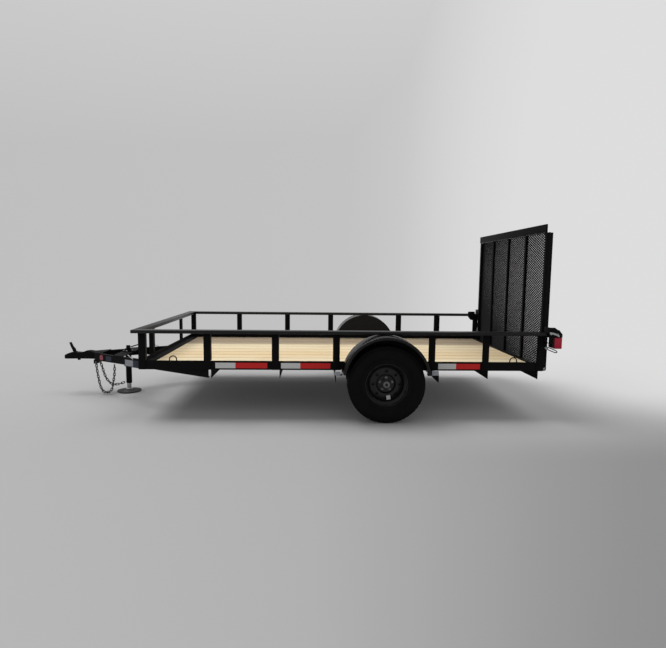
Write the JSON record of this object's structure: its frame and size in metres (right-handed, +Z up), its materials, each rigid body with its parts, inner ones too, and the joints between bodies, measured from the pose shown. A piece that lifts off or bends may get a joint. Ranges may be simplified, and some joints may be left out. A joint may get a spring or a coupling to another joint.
{
  "type": "utility trailer",
  "caption": "Flat-deck utility trailer: angle-iron frame, plank floor, low posts and rail, A-frame tongue with ball coupler and jack, round fenders and a tall mesh ramp tailgate.",
  "frame": {"origin": "bottom centre of the whole trailer, on the floor", "axes": "+X towards the coupler, +Y to the trailer's left side, +Z up"},
  "size_m": [4.957, 2.45, 1.785],
  "materials": {
    "frame_black": "black powder coat, satin",
    "wheel_black": "gloss black paint",
    "deck_wood": "bare pine boards",
    "tyre": "matt black rubber",
    "zinc": "zinc plated",
    "dark_steel": "dark painted steel",
    "mesh_grey": "expanded steel, black paint",
    "lens_red": "red lens"
  },
  "bodies": {
    "trailer": {"side_rail_left": "frame_black", "side_rail_right": "frame_black", "rail_legs": "frame_black", "front_rail": "frame_black", "rear_rail": "frame_black", "cross_members": "frame_black", "deck_boards": "deck_wood", "posts_left": "frame_black", "posts_right": "frame_black", "posts_front": "frame_black", "top_rail_left": "frame_black", "top_rail_right": "frame_black", "top_rail_front": "frame_black", "rear_block": "frame_black", "tongue_left": "frame_black", "tongue_right": "frame_black", "coupler": "frame_black", "coupler_latch": "frame_black", "jack_bracket": "frame_black", "jack_tube": "frame_black", "jack_crank": "frame_black", "axle": "frame_black", "leaf_springs": "dark_steel", "spring_hangers": "frame_black", "spring_shackles": "frame_black", "spring_pins": "dark_steel", "spring_clamps": "dark_steel", "fender_left": "frame_black", "fender_right": "frame_black", "fender_brackets": "frame_black", "gate_hinge_lugs": "frame_black", "gate_latches": "frame_black", "lamp_brackets": "frame_black", "tail_lamps": "lens_red", "tie_rings": "frame_black", "chain_left": "zinc", "chain_right": "zinc"},
    "wheel_left": {"tyre_left": "tyre", "rim_left": "wheel_black", "hub_left": "wheel_black"},
    "wheel_right": {"tyre_right": "tyre", "rim_right": "wheel_black", "hub_right": "wheel_black"},
    "tailgate": {"gate_frame": "frame_black", "gate_mesh": "mesh_grey"},
    "jack": {"jack_leg": "zinc"}
  },
  "joints": [
    {"name": "wheel_left_spin", "type": "hinge", "parent": "trailer", "child": "wheel_left", "pos_m": [-0.8785, 1.113, 0.34425], "axis": [0, 1, 0], "continuous": true},
    {"name": "wheel_right_spin", "type": "hinge", "parent": "trailer", "child": "wheel_right", "pos_m": [-0.8785, -1.113, 0.34425], "axis": [0, 1, 0], "continuous": true},
    {"name": "tailgate_hinge", "type": "hinge", "parent": "trailer", "child": "tailgate", "pos_m": [-2.3775, 0, 0.455], "axis": [0, -1, 0], "range_deg": [0, 108]},
    {"name": "jack_slide", "type": "slide", "parent": "trailer", "child": "jack", "axis": [0, 0, 1], "range_m": [-0.15, 0]}
  ]
}
